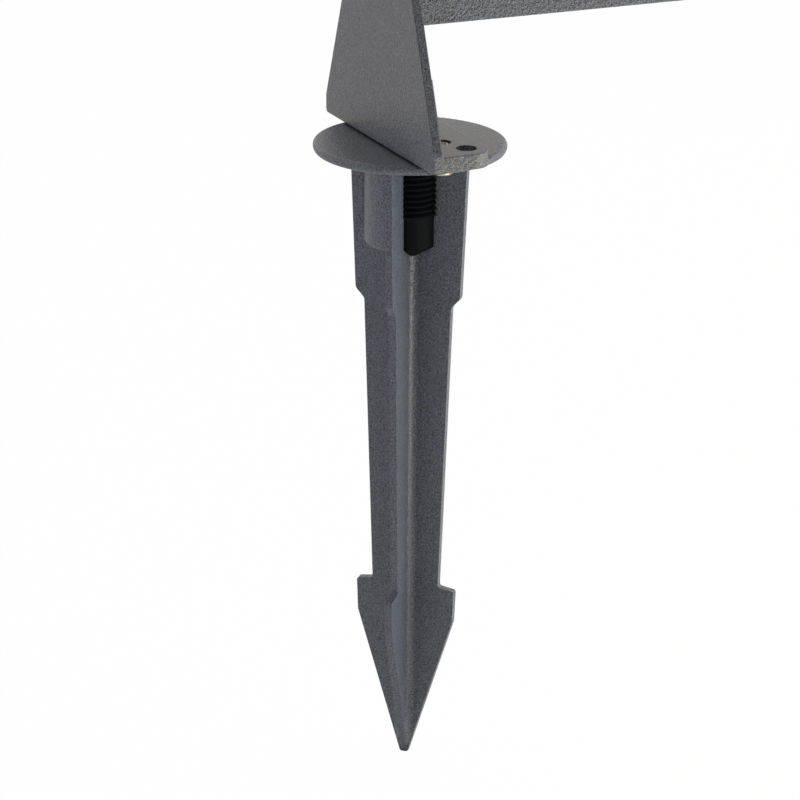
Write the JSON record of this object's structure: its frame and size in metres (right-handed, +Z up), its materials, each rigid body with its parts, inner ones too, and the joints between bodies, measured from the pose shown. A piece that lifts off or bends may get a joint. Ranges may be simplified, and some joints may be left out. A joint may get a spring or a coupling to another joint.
{
  "type": "garden spike light",
  "caption": "Small LED floodlight that tilts on an A-shaped bracket, bolted to the round flange of a barbed four-finned ground spike.",
  "frame": {"origin": "on the spike's axis at ground level, the underside of its flange, where the ground holds it", "axes": "+Z up along the spike's axis, +X from the bracket towards the head, -Y out of the head's front glass at rest"},
  "size_m": [0.1526, 0.0938, 0.38],
  "materials": {
    "cast_paint": "fine textured powder coat, dark grey",
    "bracket_paint": "fine textured powder coat, dark grey",
    "zinc_steel": "yellow zinc plated",
    "steel": "stainless, satin",
    "black_plastic": "moulded black",
    "black_rubber": "matt black",
    "clear_glass": "clear tempered",
    "reflector_metal": "satin",
    "board_white": "white solder mask",
    "led_yellow": "phosphor",
    "driver_white": "moulded",
    "lead_red": "insulated"
  },
  "bodies": {
    "stake": {"spike": "cast_paint", "socket_plug": "black_plastic", "base_bolts": "zinc_steel", "base_washers": "zinc_steel", "bracket": "bracket_paint"},
    "head": {"pivot_bolt": "steel", "pivot_spring_washer": "steel", "pivot_washer": "steel", "tilt_disc": "black_plastic", "housing": "cast_paint", "bezel": "cast_paint", "bezel_screws": "steel", "glass": "clear_glass", "glass_gasket": "black_rubber", "reflector": "reflector_metal", "led_board": "board_white", "leds": "led_yellow", "board_screws": "steel", "rear_cover": "cast_paint", "cover_gasket": "black_rubber", "cover_screws": "steel", "driver_case": "driver_white", "driver_screws": "steel", "terminal_block": "driver_white", "terminal_screws": "steel", "lead_wires": "lead_red", "led_lead": "black_rubber", "wire_grommet": "black_rubber", "gland_body": "black_plastic", "gland_locknut": "black_plastic", "gland_seal": "black_rubber", "gland_cap": "black_plastic", "vent_plug": "black_plastic"}
  },
  "joints": [
    {"name": "head_tilt", "type": "hinge", "parent": "stake", "child": "head", "pos_m": [-0.0094, 0, 0.094], "axis": [-1, 0, 0], "range_deg": [-90, 90]}
  ]
}
